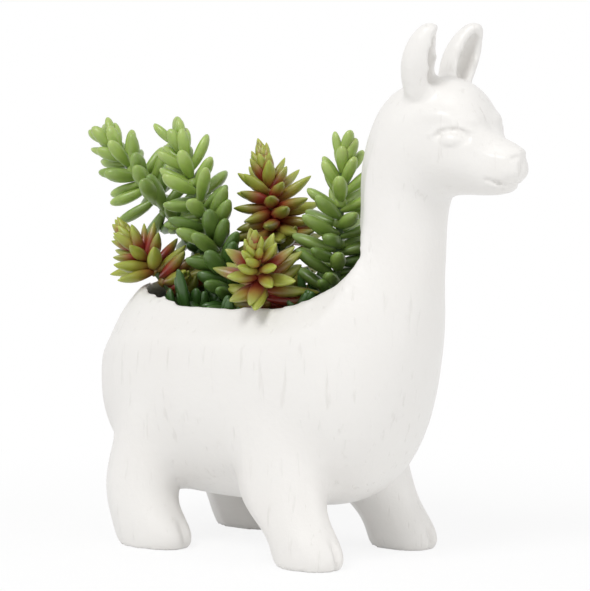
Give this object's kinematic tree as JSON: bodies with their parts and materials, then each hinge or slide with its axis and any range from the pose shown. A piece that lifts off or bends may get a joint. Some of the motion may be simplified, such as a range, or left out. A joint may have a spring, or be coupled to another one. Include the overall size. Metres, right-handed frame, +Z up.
{
  "type": "animal shaped planter",
  "caption": "Ceramic llama-shaped planter, open at the back, holding floral foam with pushed-in artificial succulents.",
  "frame": {"origin": "centre of the bounding box in plan, on the surface that the feet stand on", "axes": "+X the way the llama faces, +Y its left side, +Z up"},
  "size_m": [0.2298, 0.0876, 0.2123],
  "materials": {
    "glaze": "satin",
    "foam": "matte",
    "stem": "matte",
    "green_leaf": "satin",
    "red_leaf": "satin"
  },
  "bodies": {
    "planter": {"ceramic_body": "glaze"},
    "arrangement": {"foam_block": "foam"},
    "long_green_plant": {"long_green_stem": "stem", "long_green_whorl_1": "green_leaf", "long_green_whorl_10": "green_leaf", "long_green_whorl_11": "green_leaf", "long_green_whorl_12": "green_leaf", "long_green_whorl_2": "green_leaf", "long_green_whorl_3": "green_leaf", "long_green_whorl_4": "green_leaf", "long_green_whorl_5": "green_leaf", "long_green_whorl_6": "green_leaf", "long_green_whorl_7": "green_leaf", "long_green_whorl_8": "green_leaf", "long_green_whorl_9": "green_leaf"},
    "middle_green_plant": {"middle_green_stem": "stem", "middle_green_whorl_1": "green_leaf", "middle_green_whorl_2": "green_leaf", "middle_green_whorl_3": "green_leaf", "middle_green_whorl_4": "green_leaf", "middle_green_whorl_5": "green_leaf", "middle_green_whorl_6": "green_leaf", "middle_green_whorl_7": "green_leaf", "middle_green_whorl_8": "green_leaf"},
    "neck_green_plant": {"neck_green_stem": "stem", "neck_green_whorl_1": "green_leaf", "neck_green_whorl_2": "green_leaf", "neck_green_whorl_3": "green_leaf", "neck_green_whorl_4": "green_leaf", "neck_green_whorl_5": "green_leaf", "neck_green_whorl_6": "green_leaf", "neck_green_whorl_7": "green_leaf"},
    "left_red_plant": {"left_red_stem": "stem", "left_red_whorl_1": "red_leaf", "left_red_whorl_2": "red_leaf", "left_red_whorl_3": "red_leaf", "left_red_whorl_4": "red_leaf", "left_red_whorl_5": "red_leaf", "left_red_whorl_6": "red_leaf"},
    "back_red_plant": {"back_red_stem": "stem", "back_red_whorl_1": "red_leaf", "back_red_whorl_2": "red_leaf", "back_red_whorl_3": "red_leaf", "back_red_whorl_4": "red_leaf", "back_red_whorl_5": "red_leaf", "back_red_whorl_6": "red_leaf"},
    "front_red_plant": {"front_red_stem": "stem", "front_red_whorl_1": "red_leaf", "front_red_whorl_2": "red_leaf", "front_red_whorl_3": "red_leaf", "front_red_whorl_4": "red_leaf", "front_red_whorl_5": "red_leaf", "front_red_whorl_6": "red_leaf"}
  },
  "joints": [
    {"name": "arrangement_lift", "type": "slide", "parent": "planter", "child": "arrangement", "axis": [0, 0, 1], "range_m": [0, 0.095]},
    {"name": "long_green_pull", "type": "slide", "parent": "arrangement", "child": "long_green_plant", "axis": [-0.7433, 0, 0.669], "range_m": [0, 0.027]},
    {"name": "middle_green_pull", "type": "slide", "parent": "arrangement", "child": "middle_green_plant", "axis": [-0.4353, 0, 0.9003], "range_m": [0, 0.027]},
    {"name": "neck_green_pull", "type": "slide", "parent": "arrangement", "child": "neck_green_plant", "axis": [0.0348, 0.0464, 0.9983], "range_m": [0, 0.027]},
    {"name": "left_red_pull", "type": "slide", "parent": "arrangement", "child": "left_red_plant", "axis": [-0.6634, -0.1658, 0.7297], "range_m": [0, 0.027]},
    {"name": "back_red_pull", "type": "slide", "parent": "arrangement", "child": "back_red_plant", "axis": [-0.3019, 0.0464, 0.9522], "range_m": [0, 0.027]},
    {"name": "front_red_pull", "type": "slide", "parent": "arrangement", "child": "front_red_plant", "axis": [0.2694, -0.5724, 0.7745], "range_m": [0, 0.027]}
  ]
}
